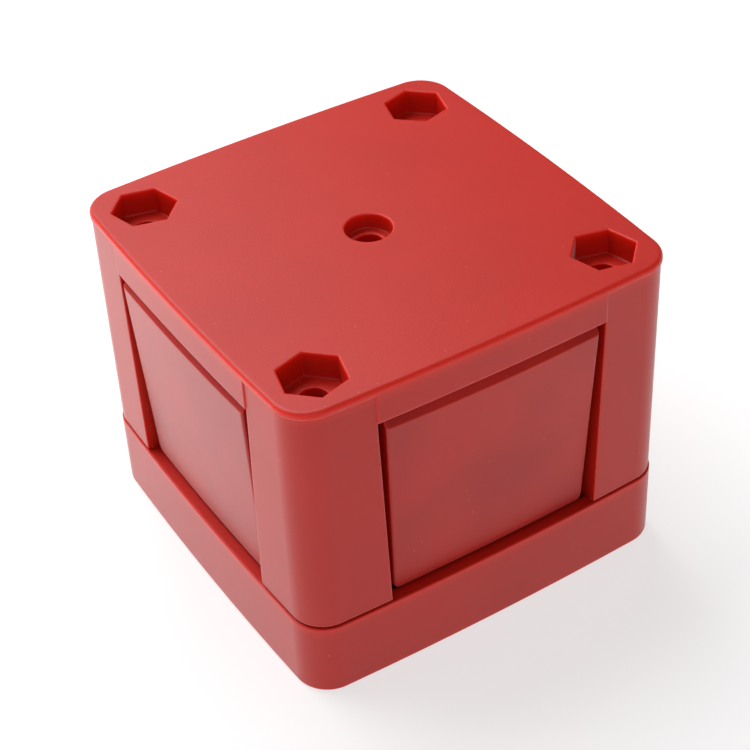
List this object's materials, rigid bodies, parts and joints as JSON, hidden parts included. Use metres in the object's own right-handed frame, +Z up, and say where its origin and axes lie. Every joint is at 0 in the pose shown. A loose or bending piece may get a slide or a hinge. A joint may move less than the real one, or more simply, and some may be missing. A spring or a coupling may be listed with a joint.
{
  "type": "fire alarm push box",
  "caption": "Square moulded box with a push flap in each side, round corner posts, hexagon recesses and a centre hole in its top.",
  "frame": {"origin": "centre of the underside", "axes": "+Z up out of the top face, -Y out of the front flap, +X to the front's right"},
  "size_m": [0.1, 0.1, 0.082],
  "materials": {
    "red_plastic": "fine satin texture",
    "black_plastic": "satin",
    "rubber": "matt",
    "board": "solder mask",
    "terminal_green": "satin",
    "steel": "bright zinc",
    "resistor": "lacquer",
    "white_plastic": "satin",
    "spring_steel": "drawn wire",
    "button_red": "gloss"
  },
  "bodies": {
    "housing": {"upper_housing": "red_plastic", "base_housing": "red_plastic", "switch_carrier": "black_plastic", "carrier_gasket": "rubber", "circuit_board": "board", "terminal_block": "terminal_green", "terminal_screws": "steel", "line_resistors": "resistor", "cable_grommet": "rubber", "housing_screws": "steel", "carrier_screws": "steel", "board_screws": "steel", "return_spring_front": "spring_steel", "return_spring_right": "spring_steel", "return_spring_back": "spring_steel", "return_spring_left": "spring_steel", "microswitch_front": "black_plastic", "microswitch_right": "black_plastic", "microswitch_back": "black_plastic", "microswitch_left": "black_plastic"},
    "flap_front": {"flap_front": "red_plastic", "hinge_pin_front": "steel"},
    "plunger_front": {"plunger_front": "white_plastic", "plunger_clip_front": "spring_steel"},
    "lever_front": {"switch_lever_front": "spring_steel"},
    "button_front": {"switch_button_front": "button_red"},
    "flap_right": {"flap_right": "red_plastic", "hinge_pin_right": "steel"},
    "plunger_right": {"plunger_right": "white_plastic", "plunger_clip_right": "spring_steel"},
    "lever_right": {"switch_lever_right": "spring_steel"},
    "button_right": {"switch_button_right": "button_red"},
    "flap_back": {"flap_back": "red_plastic", "hinge_pin_back": "steel"},
    "plunger_back": {"plunger_back": "white_plastic", "plunger_clip_back": "spring_steel"},
    "lever_back": {"switch_lever_back": "spring_steel"},
    "button_back": {"switch_button_back": "button_red"},
    "flap_left": {"flap_left": "red_plastic", "hinge_pin_left": "steel"},
    "plunger_left": {"plunger_left": "white_plastic", "plunger_clip_left": "spring_steel"},
    "lever_left": {"switch_lever_left": "spring_steel"},
    "button_left": {"switch_button_left": "button_red"}
  },
  "joints": [
    {"name": "flap_front_press", "type": "hinge", "parent": "housing", "child": "flap_front", "pos_m": [0, -0.0435, 0.071], "axis": [1, 0, 0], "range_deg": [0, 4], "stiffness_Nm_per_rad": 1.4, "springref_deg": -2.86},
    {"name": "plunger_front_slide", "type": "slide", "parent": "housing", "child": "plunger_front", "axis": [0, 1, 0], "range_m": [0, 0.0027], "deforming": ["return_spring_front"]},
    {"name": "lever_front_turn", "type": "hinge", "parent": "housing", "child": "lever_front", "pos_m": [-0.0154, -0.0196, 0.034], "axis": [0, 0, 1], "range_deg": [0, 10]},
    {"name": "button_front_slide", "type": "slide", "parent": "housing", "child": "button_front", "axis": [0, 1, 0], "range_m": [0, 0.0008]},
    {"name": "flap_right_press", "type": "hinge", "parent": "housing", "child": "flap_right", "pos_m": [0.0435, 0, 0.071], "axis": [0, 1, 0], "range_deg": [0, 4], "stiffness_Nm_per_rad": 1.4, "springref_deg": -2.86},
    {"name": "plunger_right_slide", "type": "slide", "parent": "housing", "child": "plunger_right", "axis": [-1, 0, 0], "range_m": [0, 0.0027], "deforming": ["return_spring_right"]},
    {"name": "lever_right_turn", "type": "hinge", "parent": "housing", "child": "lever_right", "pos_m": [0.0196, -0.0154, 0.034], "axis": [0, 0, 1], "range_deg": [0, 10]},
    {"name": "button_right_slide", "type": "slide", "parent": "housing", "child": "button_right", "axis": [-1, 0, 0], "range_m": [0, 0.0008]},
    {"name": "flap_back_press", "type": "hinge", "parent": "housing", "child": "flap_back", "pos_m": [0, 0.0435, 0.071], "axis": [-1, 0, 0], "range_deg": [0, 4], "stiffness_Nm_per_rad": 1.4, "springref_deg": -2.86},
    {"name": "plunger_back_slide", "type": "slide", "parent": "housing", "child": "plunger_back", "axis": [0, -1, 0], "range_m": [0, 0.0027], "deforming": ["return_spring_back"]},
    {"name": "lever_back_turn", "type": "hinge", "parent": "housing", "child": "lever_back", "pos_m": [0.0154, 0.0196, 0.034], "axis": [0, 0, 1], "range_deg": [0, 10]},
    {"name": "button_back_slide", "type": "slide", "parent": "housing", "child": "button_back", "axis": [0, -1, 0], "range_m": [0, 0.0008]},
    {"name": "flap_left_press", "type": "hinge", "parent": "housing", "child": "flap_left", "pos_m": [-0.0435, 0, 0.071], "axis": [0, -1, 0], "range_deg": [0, 4], "stiffness_Nm_per_rad": 1.4, "springref_deg": -2.86},
    {"name": "plunger_left_slide", "type": "slide", "parent": "housing", "child": "plunger_left", "axis": [1, 0, 0], "range_m": [0, 0.0027], "deforming": ["return_spring_left"]},
    {"name": "lever_left_turn", "type": "hinge", "parent": "housing", "child": "lever_left", "pos_m": [-0.0196, 0.0154, 0.034], "axis": [0, 0, 1], "range_deg": [0, 10]},
    {"name": "button_left_slide", "type": "slide", "parent": "housing", "child": "button_left", "axis": [1, 0, 0], "range_m": [0, 0.0008]}
  ],
  "couplings": [
    {"joint": "plunger_front_slide", "follows": "flap_front_press", "m_per_rad": 0.037},
    {"joint": "lever_front_turn", "follows": "flap_front_press", "ratio": 2.3837},
    {"joint": "button_front_slide", "follows": "flap_front_press", "m_per_rad": 0.01017},
    {"joint": "plunger_right_slide", "follows": "flap_right_press", "m_per_rad": 0.037},
    {"joint": "lever_right_turn", "follows": "flap_right_press", "ratio": 2.3837},
    {"joint": "button_right_slide", "follows": "flap_right_press", "m_per_rad": 0.01017},
    {"joint": "plunger_back_slide", "follows": "flap_back_press", "m_per_rad": 0.037},
    {"joint": "lever_back_turn", "follows": "flap_back_press", "ratio": 2.3837},
    {"joint": "button_back_slide", "follows": "flap_back_press", "m_per_rad": 0.01017},
    {"joint": "plunger_left_slide", "follows": "flap_left_press", "m_per_rad": 0.037},
    {"joint": "lever_left_turn", "follows": "flap_left_press", "ratio": 2.3837},
    {"joint": "button_left_slide", "follows": "flap_left_press", "m_per_rad": 0.01017}
  ]
}
